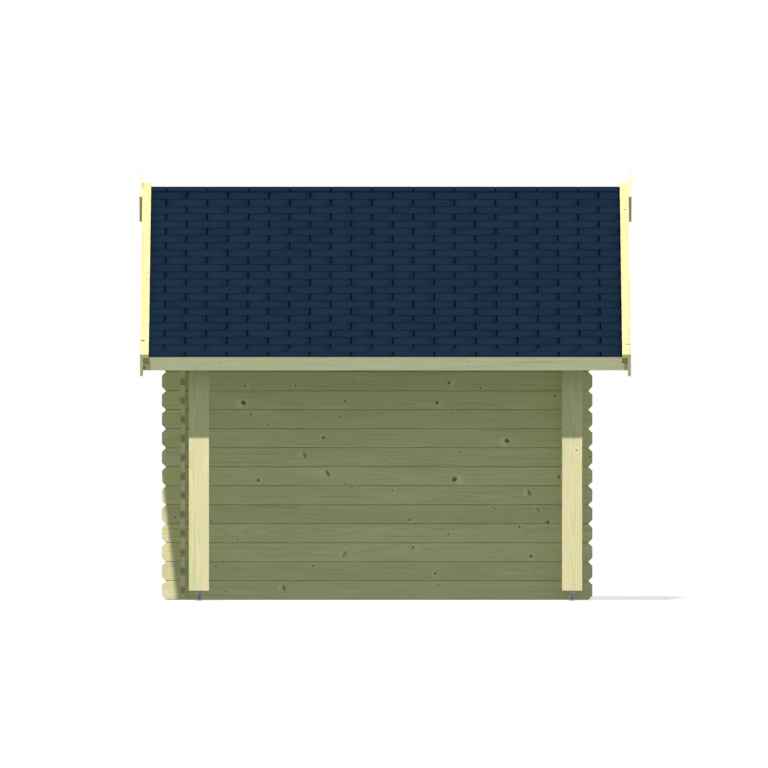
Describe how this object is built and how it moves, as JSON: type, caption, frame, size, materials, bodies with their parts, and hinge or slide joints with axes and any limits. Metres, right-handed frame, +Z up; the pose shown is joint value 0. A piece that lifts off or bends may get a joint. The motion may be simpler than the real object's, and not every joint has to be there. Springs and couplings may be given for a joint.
{
  "type": "garden house",
  "caption": "Garden house of interlocking logs with a shingled gable roof, one slope of which runs on over posts as an open side canopy.",
  "frame": {"origin": "on the ground, at the middle of the plan of the whole building with its roof", "axes": "+X along the ridge toward the door gable, +Y away from the canopy, +Z up"},
  "size_m": [2.966, 3.8436, 2.574],
  "materials": {
    "treated_log": "planed, pale green pressure-treated softwood",
    "treated_board": "planed, pale green pressure-treated softwood",
    "bitumen_shingle": "matt slate-grey bitumen shingle",
    "galvanised_steel": "dull galvanised"
  },
  "bodies": {
    "root": {"canopy_side_wall": "treated_log", "far_side_wall": "treated_log", "back_gable_wall": "treated_log", "back_gable_panel": "treated_log", "front_sill_log": "treated_log", "front_wall_canopy_side": "treated_log", "front_wall_far_side": "treated_log", "front_gable_panel": "treated_log", "canopy_back_bargeboard": "treated_log", "canopy_front_bargeboard": "treated_log", "far_back_bargeboard": "treated_log", "far_front_bargeboard": "treated_log", "canopy_fascia": "treated_log", "far_fascia": "treated_log", "door_jamb_canopy_side": "treated_board", "door_jamb_far_side": "treated_board", "door_head": "treated_board", "door_sill": "treated_board", "door_leaf_canopy_side": "treated_board", "door_leaf_far_side": "treated_board", "door_meeting_strip": "treated_board", "ridge_purlin": "treated_board", "canopy_side_purlin": "treated_board", "far_side_purlin": "treated_board", "canopy_beam": "treated_board", "back_post": "treated_board", "front_post": "treated_board", "canopy_roof_boards": "treated_board", "far_roof_boards": "treated_board", "canopy_back_cover_strip": "treated_board", "canopy_front_cover_strip": "treated_board", "far_back_cover_strip": "treated_board", "far_front_cover_strip": "treated_board", "canopy_verge_battens": "treated_board", "far_verge_battens": "treated_board", "back_gable_plaque": "treated_board", "front_gable_plaque": "treated_board", "canopy_shingles": "bitumen_shingle", "far_shingles": "bitumen_shingle", "ridge_shingles": "bitumen_shingle", "door_hinges": "galvanised_steel", "door_handle": "galvanised_steel", "back_post_foot": "galvanised_steel", "front_post_foot": "galvanised_steel"}
  },
  "joints": []
}
